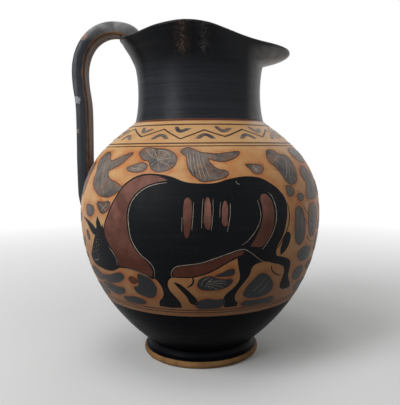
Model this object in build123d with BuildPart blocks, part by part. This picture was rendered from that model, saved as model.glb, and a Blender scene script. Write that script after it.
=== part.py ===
# A wheel-thrown pottery jug with a trefoil mouth and a high strap handle.
# Units are millimetres. Z is up, and the origin is the centre of the foot's underside.
# The spout points along +X and the handle stands on the -X side.

from build123d import *
import os
from math import cos, pi, sin

os.makedirs("parts", exist_ok=True)

# Foot ring
foot_height = 10.5
foot_radius = 45.9
foot_edge_height = 6.0
foot_edge_depth = 2.4
foot_rest_radius = 34.0
foot_hollow_radius = 31.0

# Belly: a thrown globe that narrows to the foot and to the neck
belly_radius = 93.0
belly_height = 112.3
belly_foot_radius = 40.0
belly_wall_thickness = 4.5
bowl_height_share = 0.391
shoulder_height_share = 0.541
floor_thickness = 6.0
floor_corner = 7.0

# Neck
neck_base_height = 182.0
neck_length = 42.0
neck_base_radius = 50.0
neck_waist_draw = 2.7
neck_top_draw = 0.8
neck_wall = 4.5

# Mouth: three lobes over a round base
mouth_depth = 23.4
lip_flare = 9.1
lip_wall = 3.6
spout_drop = 12.9

# Handle: a flat strap from the inside of the lip down to the belly
handle_width = 21.0
handle_thickness = 9.2
handle_edge_radius = 3.4
handle_sink = 2.8
handle_swell = 1.8
handle_rise = 5.8
handle_top_reach = 8.2
handle_end_reach = 9.3
handle_end_drop = 12.2
handle_foot_rise = 5.7
handle_straight_share = 0.112
handle_swell_share = 0.506

# Luting clay that joins the pieces
luting_width = 3.5
luting_height = 5.0
pad_inset = 1.5

# A cutting shape runs this far past what it cuts
overrun = 15.0

# Steps of halving that find a height on a curve
halving_count = 30


def between(start, end, share):
    """A size that lies a share of the way from start to end."""
    return start + (end - start) * share


def outline(radii, heights, shares):
    """Points whose radius and height are shares of the way between two ends."""
    return [
        (between(*radii, radius_share), between(*heights, height_share))
        for radius_share, height_share in shares
    ]


def inset(points, depth):
    """Control points moved inwards, square to the line between their neighbours."""
    moved = []
    last = len(points) - 1
    for index, point in enumerate(points):
        before = Vector(*points[max(index - 1, 0)])
        after = Vector(*points[min(index + 1, last)])
        along = (after - before).normalized()
        moved.append((point[0] - depth * along.Y, point[1] + depth * along.X))
    return moved


def height_on(points, radius):
    """The height at which a narrowing cubic curve reaches a radius."""
    low, high = 0.0, 1.0
    for _ in range(halving_count):
        middle = (low + high) / 2
        weights = (
            (1 - middle) ** 3,
            3 * middle * (1 - middle) ** 2,
            3 * middle**2 * (1 - middle),
            middle**3,
        )
        reached = sum(weight * point[0] for weight, point in zip(weights, points))
        low, high = (middle, high) if reached > radius else (low, middle)
    return sum(weight * point[1] for weight, point in zip(weights, points))


# Heights and radii that follow from the sizes above
neck_waist_radius = neck_base_radius - neck_waist_draw
mouth_base_radius = neck_base_radius - neck_top_draw
lip_radius = mouth_base_radius + lip_flare
mouth_base_height = neck_base_height + neck_length
lip_height = mouth_base_height + mouth_depth
bowl_height = between(foot_height, belly_height, bowl_height_share)
shoulder_height = between(belly_height, neck_base_height, shoulder_height_share)

# The belly's wall is two curves that meet at the widest ring
low_curve_shares = [(0, 0), (0.37, 0.16), (1, 0.48), (1, 1)]
high_curve_shares = [(1, 0), (1, 0.58), (0.44, 0.78), (0, 1)]
low_curve = outline(
    (belly_foot_radius, belly_radius), (foot_height, belly_height), low_curve_shares
)
high_curve = outline(
    (neck_base_radius, belly_radius), (belly_height, neck_base_height), high_curve_shares
)
belly_low_inner = inset(low_curve, belly_wall_thickness)
belly_high_inner = inset(high_curve, belly_wall_thickness)
neck_bore_radius = neck_base_radius - neck_wall

# Foot: a turned ring with a rounded edge and a hollowed top
with BuildPart() as foot:
    edge_radius = foot_radius - foot_edge_depth
    with BuildSketch(Plane.XZ):
        with BuildLine():
            Line((foot_rest_radius, 0), (edge_radius, 0))
            ThreePointArc(
                (edge_radius, 0),
                (foot_radius, foot_edge_height / 2),
                (edge_radius, foot_edge_height),
            )
            Bezier(
                (edge_radius, foot_edge_height),
                (belly_foot_radius, foot_edge_height),
                (belly_foot_radius, foot_height),
            )
            Line((belly_foot_radius, foot_height), (foot_hollow_radius, foot_height))
            Line((foot_hollow_radius, foot_height), (foot_rest_radius, 0))
        make_face()
    revolve(axis=Axis.Z)
foot.part.label = "foot"
export_step(foot.part, "parts/foot.step")

# The belly's outer form, with no hollow in it
with BuildPart() as belly_form:
    with BuildSketch(Plane.XZ):
        with BuildLine():
            Line((0, foot_height), low_curve[0])
            Bezier(*low_curve)
            Bezier(*high_curve)
            Line(high_curve[-1], (0, neck_base_height))
            Line((0, neck_base_height), (0, foot_height))
        make_face()
    revolve(axis=Axis.Z)

# The belly's hollow, with a rounded corner where the wall meets the floor
with BuildPart() as belly_hollow:
    high_end = belly_high_inner[-1]
    with BuildSketch(Plane.XZ):
        with BuildLine():
            Line((0, belly_low_inner[0][1]), belly_low_inner[0])
            Bezier(*belly_low_inner)
            Bezier(*belly_high_inner[:-1], (neck_bore_radius, high_end[1]))
            Line((neck_bore_radius, high_end[1]), (neck_bore_radius, neck_base_height + overrun))
            Line((neck_bore_radius, neck_base_height + overrun), (0, neck_base_height + overrun))
            Line((0, neck_base_height + overrun), (0, belly_low_inner[0][1]))
        make_face()
    revolve(axis=Axis.Z)
    split(bisect_by=Plane.XY.offset(foot_height + floor_thickness), keep=Keep.TOP)
    fillet(belly_hollow.faces().sort_by(Axis.Z)[0].edges(), floor_corner)

# The whole hollow wall from the foot to the neck, luted from three thrown sections
with BuildPart() as belly_shell:
    add(belly_form.part)
    add(belly_hollow.part, mode=Mode.SUBTRACT)

# Belly bowl: the floor and the steep wall above the foot
with BuildPart() as belly_bowl:
    add(belly_shell.part)
    split(bisect_by=Plane.XY.offset(bowl_height), keep=Keep.BOTTOM)
belly_bowl.part.label = "belly_bowl"
export_step(belly_bowl.part, "parts/belly_bowl.step")

# Belly wall: the wide middle, which carries the picture
with BuildPart() as belly_wall:
    add(belly_shell.part)
    split(bisect_by=Plane.XY.offset(bowl_height), keep=Keep.TOP)
    split(bisect_by=Plane.XY.offset(shoulder_height), keep=Keep.BOTTOM)
belly_wall.part.label = "belly_wall"
export_step(belly_wall.part, "parts/belly_wall.step")

# Shoulder: the dome that closes in to the neck
with BuildPart() as shoulder:
    add(belly_shell.part)
    split(bisect_by=Plane.XY.offset(shoulder_height), keep=Keep.TOP)
shoulder.part.label = "shoulder"
export_step(shoulder.part, "parts/shoulder.step")

# Neck: a slightly waisted collar, thrown apart and set on the shoulder
neck_control_radius = (8 * neck_waist_radius - neck_base_radius - mouth_base_radius) / 6
neck_low_share = 0.29
neck_high_share = 0.71
neck_curve = [
    (neck_base_radius, neck_base_height),
    (neck_control_radius, between(neck_base_height, mouth_base_height, neck_low_share)),
    (neck_control_radius, between(neck_base_height, mouth_base_height, neck_high_share)),
    (mouth_base_radius, mouth_base_height),
]
neck_inner_curve = [(radius - neck_wall, height) for radius, height in neck_curve]
with BuildPart() as neck:
    with BuildSketch(Plane.XZ):
        with BuildLine():
            Bezier(*neck_curve)
            Line(neck_curve[-1], neck_inner_curve[-1])
            Bezier(*neck_inner_curve)
            Line(neck_inner_curve[0], neck_curve[0])
        make_face()
    revolve(axis=Axis.Z)
neck.part.label = "neck"
export_step(neck.part, "parts/neck.step")

# The mouth's plan, as waves round the lip, and how fast it opens with height
lip_wave_shares = (-0.03, 0.075, 0.086, 0.062, 0.016)
level_shares = (0, 0.15, 0.31, 0.54, 1)
spout_open_shares = (0, 0.5, 0.93, 1, 1.02)
side_open_shares = (0, 0.14, 0.3, 0.6, 1.15)
level_span = lip_height + luting_width - mouth_base_height
lip_point_count = 36


def lip_reach(angle):
    """The lip's radius at an angle from the spout."""
    waves = (share * cos((index + 1) * angle) for index, share in enumerate(lip_wave_shares))
    return lip_radius * (1 + sum(waves))


def mouth_ring(level, depth):
    """Points round the mouth's wall at one level, set in by a depth."""
    points = []
    for index in range(lip_point_count):
        angle = 2 * pi * index / lip_point_count
        spout_share = max(cos(angle), 0) ** 4
        open_share = between(side_open_shares[level], spout_open_shares[level], spout_share)
        reach = between(mouth_base_radius, lip_reach(angle), open_share) - depth
        points.append((reach * cos(angle), reach * sin(angle)))
    return points


# Mouth: the pinched trefoil lip, open to the neck below
with BuildPart() as mouth:
    for level, share in enumerate(level_shares):
        with BuildSketch(Plane.XY.offset(mouth_base_height + level_span * share)):
            with BuildLine():
                Spline(mouth_ring(level, 0), periodic=True)
            make_face()
    loft()
    for level, share in enumerate(level_shares):
        rise = lip_wall if level else 0
        depth = lip_wall if level else neck_wall
        with BuildSketch(Plane.XY.offset(mouth_base_height + level_span * share + rise)):
            with BuildLine():
                Spline(mouth_ring(level, depth), periodic=True)
            make_face()
    loft(mode=Mode.SUBTRACT)
    # The rim rises over the side lobes and falls towards the spout
    rim_run_shares = (-1.3, -0.9, -0.5, -0.14, 0.14, 0.45, 0.86, 1.3)
    rim_drop_shares = (0.32, 0.31, 0.1, 0, 0.12, 0.42, 0.64, 1.07)
    rim_points = [
        (lip_radius * run, lip_height - spout_drop * drop)
        for run, drop in zip(rim_run_shares, rim_drop_shares)
    ]
    sky = lip_height + 2 * overrun
    with BuildSketch(Plane.XZ):
        with BuildLine():
            Spline(rim_points)
            Line(rim_points[-1], (rim_points[-1][0], sky))
            Line((rim_points[-1][0], sky), (rim_points[0][0], sky))
            Line((rim_points[0][0], sky), rim_points[0])
        make_face()
    extrude(amount=2 * lip_radius, both=True, mode=Mode.SUBTRACT)
mouth.part.label = "mouth"
export_step(mouth.part, "parts/mouth.step")

# Handle: one pulled strap, vertical beside the neck, arched over the lip
handle_run = belly_radius - handle_sink
swell_run = handle_run + handle_swell
handle_top_run = lip_radius + handle_top_reach
handle_end_run = lip_radius - handle_end_reach
handle_foot_height = belly_height + handle_foot_rise
handle_top_height = lip_height + handle_rise
handle_end_height = handle_top_height - handle_end_drop
handle_straight_height = between(neck_base_height, handle_top_height, handle_straight_share)
handle_swell_height = between(neck_base_height, handle_top_height, handle_swell_share)
with BuildPart() as handle:
    with BuildLine(Plane.XZ) as handle_path:
        Line((-handle_run, handle_foot_height), (-handle_run, handle_straight_height))
        swell_middle = between(handle_straight_height, handle_swell_height, 1 / 2)
        Bezier(
            (-handle_run, handle_straight_height),
            (-handle_run, swell_middle),
            (-swell_run, swell_middle),
            (-swell_run, handle_swell_height),
        )
        arch_rise_share = 0.57
        arch_run_share = 0.6
        Bezier(
            (-swell_run, handle_swell_height),
            (-swell_run, between(handle_swell_height, handle_top_height, arch_rise_share)),
            (-between(handle_top_run, swell_run, arch_run_share), handle_top_height),
            (-handle_top_run, handle_top_height),
        )
        end_run_shares = (0.46, 0.77)
        end_drop_share = 0.43
        Bezier(
            (-handle_top_run, handle_top_height),
            (-between(handle_top_run, handle_end_run, end_run_shares[0]), handle_top_height),
            (
                -between(handle_top_run, handle_end_run, end_run_shares[1]),
                between(handle_top_height, handle_end_height, end_drop_share),
            ),
            (-handle_end_run, handle_end_height),
        )
    with BuildSketch(Plane.XY.offset(handle_foot_height)):
        with Locations((-handle_run, 0)):
            RectangleRounded(handle_thickness, handle_width, handle_edge_radius)
    sweep(path=handle_path.wire())
    add(belly_form.part, mode=Mode.SUBTRACT)
    add(mouth.part, mode=Mode.SUBTRACT)
handle.part.label = "handle"
export_step(handle.part, "parts/handle.step")

# Foot luting: a coil of clay pressed into the corner under the belly
with BuildPart() as foot_luting:
    with BuildSketch(Plane.XZ):
        with BuildLine():
            Polyline(
                (foot_hollow_radius - luting_width, foot_height),
                (foot_hollow_radius + luting_width, foot_height),
                (foot_hollow_radius + luting_width, foot_height - luting_height),
                close=True,
            )
        make_face()
    revolve(axis=Axis.Z)
    add(foot.part, mode=Mode.SUBTRACT)
foot_luting.part.label = "foot_luting"
export_step(foot_luting.part, "parts/foot_luting.step")

# Neck luting: a coil of clay smoothed over the seam inside the shoulder
with BuildPart() as neck_luting:
    with BuildSketch(Plane.XZ):
        with BuildLine():
            Polyline(
                (neck_bore_radius, neck_base_height + luting_height),
                (neck_bore_radius - neck_waist_draw, neck_base_height),
                (neck_bore_radius + luting_width, neck_base_height - luting_height),
                (neck_bore_radius + luting_width, neck_base_height),
                close=True,
            )
        make_face()
    revolve(axis=Axis.Z)
    add(belly_shell.part, mode=Mode.SUBTRACT)
    add(neck.part, mode=Mode.SUBTRACT)
neck_luting.part.label = "neck_luting"
export_step(neck_luting.part, "parts/neck_luting.step")

# Handle top luting: clay between the strap and the back of the lip
back_reach = lip_reach(pi)
back_height = lip_height - spout_drop * rim_drop_shares[0]
with BuildPart() as handle_top_luting:
    with BuildSketch(Plane.XZ):
        with BuildLine():
            Polyline(
                (-back_reach - luting_width, handle_top_height - handle_thickness / 3),
                (-back_reach - luting_width, back_height),
                (-back_reach + 2 * luting_width, back_height - luting_height),
                (-handle_end_run - luting_width, back_height),
                (-back_reach + luting_width, handle_top_height - handle_thickness / 3),
                close=True,
            )
        make_face()
    extrude(amount=handle_width / 2 - pad_inset, both=True)
    add(handle.part, mode=Mode.SUBTRACT)
    add(mouth.part, mode=Mode.SUBTRACT)
handle_top_luting.part.label = "handle_top_luting"
export_step(handle_top_luting.part, "parts/handle_top_luting.step")

# Handle foot luting: a wedge of clay in the corner between strap and shoulder
strap_inner_run = handle_run - handle_thickness / 2
corner_height = height_on(high_curve, strap_inner_run)
wedge_end_run = strap_inner_run - luting_width
with BuildPart() as handle_foot_luting:
    with BuildSketch(Plane.XZ):
        with BuildLine():
            Polyline(
                (-strap_inner_run, corner_height + luting_height),
                (-strap_inner_run, corner_height - luting_height),
                (-strap_inner_run + 2 * luting_width, corner_height - luting_height),
                (-wedge_end_run, height_on(high_curve, wedge_end_run)),
                close=True,
            )
        make_face()
    extrude(amount=handle_width / 2 - pad_inset, both=True)
    add(belly_form.part, mode=Mode.SUBTRACT)
handle_foot_luting.part.label = "handle_foot_luting"
export_step(handle_foot_luting.part, "parts/handle_foot_luting.step")
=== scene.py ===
from math import pi, radians

import bpy
import numpy as np
from mathutils import Matrix, Vector
from mathutils.kdtree import KDTree


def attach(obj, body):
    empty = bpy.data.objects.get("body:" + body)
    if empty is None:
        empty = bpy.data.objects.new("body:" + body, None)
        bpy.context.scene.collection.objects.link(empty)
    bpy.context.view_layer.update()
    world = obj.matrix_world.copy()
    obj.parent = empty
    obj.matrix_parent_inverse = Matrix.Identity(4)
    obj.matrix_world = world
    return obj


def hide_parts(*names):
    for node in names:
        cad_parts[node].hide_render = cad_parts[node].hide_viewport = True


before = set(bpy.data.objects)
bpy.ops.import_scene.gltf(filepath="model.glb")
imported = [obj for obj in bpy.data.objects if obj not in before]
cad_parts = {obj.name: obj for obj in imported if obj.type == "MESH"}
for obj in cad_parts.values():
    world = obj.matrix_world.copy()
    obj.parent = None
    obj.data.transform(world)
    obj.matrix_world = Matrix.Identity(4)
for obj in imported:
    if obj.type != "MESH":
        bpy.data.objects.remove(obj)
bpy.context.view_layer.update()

# Camera
# The picture was taken from close by, a little above the jug's middle, looking slightly down,
# so the belly's flanks fall away and the underside of the lip shows.
eye_distance = 0.405
eye_height = 0.161
eye_tilt = radians(84.07)
eye_roll = radians(-0.43)
eye_lens = 45.24
bpy.ops.object.select_all(action="DESELECT")
bpy.ops.object.camera_add()
camera = bpy.context.object
camera.name = "jug_camera"
camera.matrix_world = (
    Matrix.Translation((0, -eye_distance, eye_height))
    @ Matrix.Rotation(eye_tilt, 4, "X")
    @ Matrix.Rotation(eye_roll, 4, "Z")
)
camera.data.lens = eye_lens
bpy.context.scene.camera = camera
bpy.context.scene.view_settings.view_transform = "Standard"

# Foot
# A low ring turned from the same clay. Its hollowed top is dipped in black slip and its rounded
# edge is left bare, so the orange clay shows as a thin band above the table.
foot_height = 0.0105


def tone(red, green, blue):
    """A colour as on a paint chart, 0 to 255, in the units that shaders use."""
    return (*((share / 255) ** 2.2 for share in (red, green, blue)), 1)


def new_finish(name, roughness, gloss=0.5):
    """A fired surface, its shader, and the place on the jug where its patterns are read."""
    finish = bpy.data.materials.new(name)
    finish.use_nodes = True
    nodes = finish.node_tree.nodes
    shader = nodes["Principled BSDF"]
    shader.inputs["Roughness"].default_value = roughness
    shader.inputs["Specular IOR Level"].default_value = gloss
    return finish, shader, nodes.new("ShaderNodeTexCoord").outputs["Object"]


def feed(sockets, values):
    """Gives each socket its value, a fixed one or another socket's."""
    for socket, value in zip(sockets, values):
        if isinstance(value, bpy.types.NodeSocket):
            socket.id_data.links.new(value, socket)
        else:
            socket.default_value = value


def new_node(kind, *values):
    """A node fed with values, in the tree that the first of them comes from."""
    node = values[0].id_data.nodes.new("ShaderNode" + kind)
    feed(node.inputs, values)
    return node


def clouds(place, size, squeeze=(1, 1, 1), detail=4):
    """Soft patches about one size across, squeezed along an axis."""
    spread = new_node("Mapping", place)
    spread.inputs["Scale"].default_value = squeeze
    noise = new_node("TexNoise", spread.outputs[0])
    noise.inputs["Scale"].default_value = 1 / size
    noise.inputs["Detail"].default_value = detail
    return noise.outputs[0]


def turned(place, size):
    """Fine level lines, as the wheel leaves them."""
    return clouds(place, size, (0.03, 0.03, 1), 3)


def level(amount, start, end, low=0, high=1):
    """A number that goes from low to high while an amount goes from start to end."""
    return new_node("MapRange", amount, start, end, low, high).outputs[0]


def patches(place, size, start, end, low=0, high=1, squeeze=(1, 1, 1), detail=4):
    """Soft patches as a number that goes from low to high."""
    return level(clouds(place, size, squeeze, detail), start, end, low, high)


def sum_of(kind, first, second=0):
    """Two numbers added, multiplied or compared."""
    node = new_node("Math", first, second)
    node.operation = kind
    return node.outputs[0]


def times(first, second):
    """The product of two numbers."""
    return sum_of("MULTIPLY", first, second)


def axes_of(place):
    """How far along X, Y and Z a place is."""
    return new_node("SeparateXYZ", place).outputs


def distance(place, spot):
    """How far a place is from a spot."""
    node = new_node("VectorMath", place, spot)
    node.operation = "DISTANCE"
    return node.outputs["Value"]


def kept(place, name):
    """A value that is kept on the piece's points."""
    node = place.id_data.nodes.new("ShaderNodeAttribute")
    node.attribute_name = name
    return node.outputs["Fac"]


def coats(under, *layers):
    """Colours laid one over another, from pairs of how thickly each lies and its colour."""
    for amount, over in layers:
        mix = new_node("Mix", amount)
        mix.data_type = "RGBA"
        feed(mix.inputs[6:8], (under, over))
        under = mix.outputs[2]
    return under


def dress(shader, colour, roughness=None):
    """Gives a surface its colour and, where it varies, its roughness."""
    feed([shader.inputs["Base Color"]], [colour])
    if roughness:
        feed([shader.inputs["Roughness"]], [roughness])


def relief(shader, *depths):
    """Small bumps, from (height, depth in metres) pairs, one on another."""
    normals = []
    for height, depth in depths:
        bump = height.id_data.nodes.new("ShaderNodeBump")
        bump.inputs["Distance"].default_value = depth
        feed([bump.inputs["Height"]], [height])
        feed([bump.inputs["Normal"]], normals)
        normals = [bump.outputs["Normal"]]
    feed([shader.inputs["Normal"]], normals)


def clay_colour(place):
    """Orange clay with warmer and paler patches, wheel streaks and dark grit."""
    return coats(
        tone(185, 140, 92),
        (patches(place, 0.045, 0.36, 0.66), tone(201, 161, 112)),
        (level(turned(place, 0.0022), 0.45, 0.8, 0, 0.4), tone(168, 112, 68)),
        (patches(place, 0.014, 0.56, 0.8, 0, 0.45, detail=6), tone(158, 88, 48)),
        (patches(place, 0.0011, 0.72, 0.78, 0, 0.7, detail=2), tone(96, 66, 44)),
    )


def slip_colour(place):
    """Black slip, a little browner where it is thin, with pale worn specks."""
    return coats(
        tone(12, 14, 17),
        (patches(place, 0.03, 0.35, 0.7, detail=5), tone(21, 22, 25)),
        (level(turned(place, 0.0017), 0.5, 0.85, 0, 0.5), tone(38, 36, 37)),
        (patches(place, 0.0009, 0.75, 0.8, 0, 0.5, detail=3), tone(92, 76, 66)),
    )


def put_on(piece, finish):
    """Makes a finish the piece's only one."""
    piece.data.materials.clear()
    piece.data.materials.append(finish)


foot_finish, shader, place = new_finish("turned_foot", 0.5, 0.04)
ragged = sum_of("ADD", axes_of(place)["Z"], patches(place, 0.006, 0, 1, -0.00015, 0.00015))
dipped = level(ragged, 0.0053, 0.0056)
# Painted shade: the bare clay of the foot is darkened all over, more in some soft patches than others.
painted_foot_shade = patches(place, 0.02, 0.3, 0.7, 0.5, 0.85)
scuffs = patches(place, 0.005, 0.55, 0.7, 0, 0.5, detail=6)
colour = coats(
    clay_colour(place),
    (painted_foot_shade, tone(88, 60, 38)),
    (scuffs, tone(84, 56, 38)),
    (dipped, slip_colour(place)),
)
dress(shader, colour, level(dipped, 0, 1, 0.62, 0.48))
relief(shader, (turned(place, 0.0011), 0.00012), (clouds(place, 0.0016), 0.00008))
put_on(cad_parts["foot"], foot_finish)

# Belly
# One hollow wall thrown in three lifts from orange clay: the bowl below the frieze, which is
# black all over, the wide wall that carries the picture, and the shoulder up to the neck.
belly_radius = 0.093
belly_height = 0.1123
belly_foot_radius = 0.040
belly_wall_thickness = 0.0045
bowl_height = 0.0503
shoulder_height = 0.1500
floor_thickness = 0.006
floor_sweep_rise, floor_sweep_inset, floor_sweep_run = 0.005, 0.003, 0.007
neck_base_height = 0.182
neck_base_radius = 0.050
neck_bore_radius = 0.0455
low_curve_shares = [(0, 0), (0.37, 0.16), (1, 0.48), (1, 1)]
high_curve_shares = [(1, 0), (1, 0.58), (0.44, 0.78), (0, 1)]
turn_steps = 400
seam_gap = 1e-6
soft_angle = radians(40)


def between(start, end, share):
    """A size or a point that lies a share of the way from start to end."""
    return start + (end - start) * share


def outline(radii, heights, shares):
    """Points whose radius and height are shares of the way between two ends."""
    return [Vector((between(*radii, share[0]), between(*heights, share[1]))) for share in shares]


def inset(points, depth):
    """Control points moved inwards, square to the line between their neighbours."""
    moved = []
    for index, point in enumerate(points):
        before = points[max(index - 1, 0)]
        after = points[min(index + 1, len(points) - 1)]
        along = (after - before).normalized()
        moved.append(point + Vector((-along.y, along.x)) * depth)
    return moved


def on_curve(points, shares):
    """The point that repeated halfway lines reach; three equal shares give a curve point."""
    for share in shares:
        points = [between(start, end, share) for start, end in zip(points, points[1:])]
    return points[0]


def at(curve, share):
    """The point of a curve at one share of its way."""
    return on_curve(curve, [share] * 3)


def piece_of(points, low, high):
    """The stretch of a curve between two shares, as four control points of its own."""
    return [on_curve(points, [low] * (3 - index) + [high] * index) for index in range(4)]


def share_at(points, height):
    """How far along a rising curve a height is reached."""
    low, high = 0.0, 1.0
    for _ in range(30):
        middle = (low + high) / 2
        low, high = (middle, high) if at(points, middle).y < height else (low, middle)
    return low


def straight(start, end):
    """A straight run in the form of a curve's four control points."""
    return [between(Vector(start), Vector(end), share / 3) for share in range(4)]


def select_only(piece):
    """Makes one piece the only selected one."""
    bpy.ops.object.select_all(action="DESELECT")
    piece.select_set(True)
    bpy.context.view_layer.objects.active = piece


def weld(gap=seam_gap, outward=True):
    """Merges coinciding points of the active piece and turns its faces outward."""
    bpy.ops.object.mode_set(mode="EDIT")
    bpy.ops.mesh.select_all(action="SELECT")
    bpy.ops.mesh.remove_doubles(threshold=gap)
    if outward:
        bpy.ops.mesh.normals_make_consistent(inside=False)
    bpy.ops.object.mode_set(mode="OBJECT")


def read(items, name, kind=float, each=1):
    """The numbers that many items hold under one name."""
    numbers = np.empty(len(items) * each, kind)
    items.foreach_get(name, numbers)
    return numbers


def points_of(piece):
    """The piece's points, as rows of X, Y and Z."""
    return read(piece.data.vertices, "co", each=3).reshape(-1, 3)


def keep(piece, name, values):
    """Keeps a value for each of the piece's points, for its finish to read."""
    kept_values = piece.data.attributes.new(name, "FLOAT", "POINT").data
    kept_values.foreach_set("value", np.asarray(values, np.float32))


def new_curve(name):
    """A curve with no line in it yet."""
    bpy.ops.object.select_all(action="DESELECT")
    bpy.ops.curve.primitive_bezier_curve_add()
    curve = bpy.context.object
    curve.name = name
    curve.data.splines.clear()
    return curve


def add_line(curve, steps, knots):
    """A line through knots in the X-Z plane, each a point and the two handles that bend it."""
    spline = curve.data.splines.new("BEZIER")
    spline.bezier_points.add(len(knots) - 1)
    spline.resolution_u = steps
    for knot, spots in zip(spline.bezier_points, knots):
        knot.handle_left_type = knot.handle_right_type = "FREE"
        knot.co, knot.handle_left, knot.handle_right = [(x, 0, height) for x, height in spots]


def draw_profile(name, runs):
    """A closed profile in the X-Z plane, from runs of (four control points, steps)."""
    profile = new_curve(name)
    for (start, pull, lead, end), steps in runs:
        add_line(profile, steps, [(start, start, pull), (end, lead, end)])
    bpy.ops.object.convert(target="MESH")
    return bpy.context.object


def throw(name, runs, steps=turn_steps):
    """A wall of revolution: the profile is drawn and turned once round, as clay on a wheel."""
    piece = draw_profile(name, runs)
    lengths = np.linalg.norm(np.diff(points_of(piece), axis=0), axis=1).cumsum()
    keep(piece, "run", np.append(0, lengths / lengths[-1]))
    weld(outward=False)
    bpy.ops.object.modifier_add(type="SCREW")
    wheel = piece.modifiers[0]
    wheel.steps = wheel.render_steps = steps
    wheel.use_merge_vertices = True
    wheel.merge_threshold = seam_gap
    bpy.ops.object.modifier_apply(modifier=wheel.name)
    weld()
    bpy.ops.object.shade_smooth_by_angle(angle=soft_angle)
    return piece


def unroll(piece):
    """A map of a thrown wall: once round against the length of its profile."""
    mesh = piece.data
    corners = read(mesh.loops, "vertex_index", int)
    sides = read(mesh.polygons, "loop_total", int)
    face = np.repeat(np.arange(len(sides)), sides)
    x, y, _ = points_of(piece)[corners].T
    run = read(mesh.attributes["run"].data, "value")
    columns = []
    for share in (np.arctan2(y, x) / (2 * pi) % 1, run[corners]):
        lean = np.zeros((2, len(sides)))
        np.add.at(lean[0], face, np.cos(share * 2 * pi))
        np.add.at(lean[1], face, np.sin(share * 2 * pi))
        middle = (np.arctan2(lean[1], lean[0]) / (2 * pi) % 1)[face]
        columns.append(share + np.round(middle - share))
    plan = mesh.uv_layers.new(name="OFBake")
    plan.data.foreach_set("uv", np.stack(columns, 1).ravel().astype(np.float32))


def fix_on(piece, finish, slot, *solids):
    """Gives a piece its finish, hangs it from the root and hides the solids that it stands for."""
    put_on(piece, finish)
    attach(piece, "root")
    if solids:
        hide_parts(*solids)


low_radii, low_heights = (belly_foot_radius, belly_radius), (foot_height, belly_height)
high_radii, high_heights = (neck_base_radius, belly_radius), (belly_height, neck_base_height)
low_curve = outline(low_radii, low_heights, low_curve_shares)
high_curve = outline(high_radii, high_heights, high_curve_shares)
low_inner = inset(low_curve, belly_wall_thickness)
high_inner = inset(high_curve, belly_wall_thickness)
high_inner[-1].x = neck_bore_radius
seam_out = share_at(low_curve, bowl_height)
seam_in = share_at(low_inner, bowl_height)
rise_out = share_at(high_curve, shoulder_height)
rise_in = share_at(high_inner, shoulder_height)
bowl_seam = [at(low_curve, seam_out), at(low_inner, seam_in)]
shoulder_seam = [at(high_curve, rise_out), at(high_inner, rise_in)]
floor_top = foot_height + floor_thickness
floor_in = share_at(low_inner, floor_top + floor_sweep_rise)
floor_edge = at(low_inner, floor_in)
corner = Vector((floor_edge.x - floor_sweep_inset, floor_top))
floor_end = corner - Vector((floor_sweep_run, 0))
floor_sweep = [
    floor_edge, between(floor_edge, corner, 0.6), between(floor_end, corner, 0.6), floor_end
]
belly_bowl = throw(
    "belly_bowl",
    [
        (straight((0, foot_height), low_curve[0]), 3),
        (piece_of(low_curve, 0, seam_out), 30),
        (straight(*bowl_seam), 1),
        (piece_of(low_inner, floor_in, seam_in)[::-1], 12),
        (floor_sweep, 6),
        (straight(floor_end, (0, floor_top)), 4),
    ],
)
belly_wall = throw(
    "belly_wall",
    [
        (piece_of(low_curve, seam_out, 1), 60),
        (piece_of(high_curve, 0, rise_out), 40),
        (straight(*shoulder_seam), 1),
        (piece_of(high_inner, 0, rise_in)[::-1], 12),
        (piece_of(low_inner, seam_in, 1)[::-1], 18),
        (straight(*bowl_seam[::-1]), 1),
    ],
)
bore_edge = (neck_bore_radius, neck_base_height)
shoulder = throw(
    "shoulder",
    [
        (piece_of(high_curve, rise_out, 1), 48),
        (straight(high_curve[-1], bore_edge), 1),
        (straight(bore_edge, high_inner[-1]), 1),
        (piece_of(high_inner, rise_in, 1)[::-1], 14),
        (straight(*shoulder_seam[::-1]), 1),
    ],
)

dipped_bowl, shader, place = new_finish("dipped_bowl", 0.4, 0.02)
inside = level(kept(place, "run"), 0.535, 0.54)
colour = coats(slip_colour(place), (inside, clay_colour(place)))
dress(shader, colour, patches(place, 0.02, 0.3, 0.7, 0.27, 0.4))
relief(shader, (turned(place, 0.0014), 0.00012))

bare_wall, shader, place = new_finish("burnished_clay", 0.5, 0.25)
height = axes_of(place)["Z"]
picture = level(height, 0.166, 0.160)
warmed = times(picture, patches(place, 0.014, 0.35, 0.65, 0, 0.75, detail=6))
halo = times(kept(place, "stain"), patches(place, 0.006, 0.34, 0.62, 0.15, 1))
halo = times(halo, level(picture, 0, 1, 0.15, 0.85))
# Painted shade: the clay grows darker and browner towards the bottom of the wall.
painted_low_shade = level(height, 0.125, 0.055, 0, 0.8)
border = level(height, 0.1806, 0.1814)
colour = coats(
    clay_colour(place),
    (warmed, tone(176, 112, 60)),
    (halo, tone(156, 76, 32)),
    (painted_low_shade, tone(102, 62, 36)),
    (border, tone(84, 40, 26)),
)
dress(shader, colour, patches(place, 0.012, 0.3, 0.7, 0.4, 0.52))
relief(shader, (turned(place, 0.0012), 0.00007), (clouds(place, 0.0015), 0.00005))

for piece, finish, slot, solid in (
    (belly_bowl, dipped_bowl, "black_slip", "belly_bowl"),
    (belly_wall, bare_wall, "belly_clay", "belly_wall"),
    (shoulder, bare_wall, "belly_clay", "shoulder"),
):
    unroll(piece)
    fix_on(piece, finish, slot, solid)

# Turned lines
# Thin rings of dilute slip, laid with a loaded brush held still while the jug turned: a pair
# under the shoulder band, one under the neck and a pair below the frieze.
slip_lift = 0.00010
wall_steps = 200
outer_points = [at(low_curve, step / wall_steps) for step in range(wall_steps)]
outer_points += [at(high_curve, step / wall_steps) for step in range(wall_steps + 1)]
wall_radii = np.array([point.x for point in outer_points])
wall_heights = np.array([point.y for point in outer_points])
wall_leans = np.arctan2(np.gradient(wall_radii), np.gradient(wall_heights))


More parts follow.
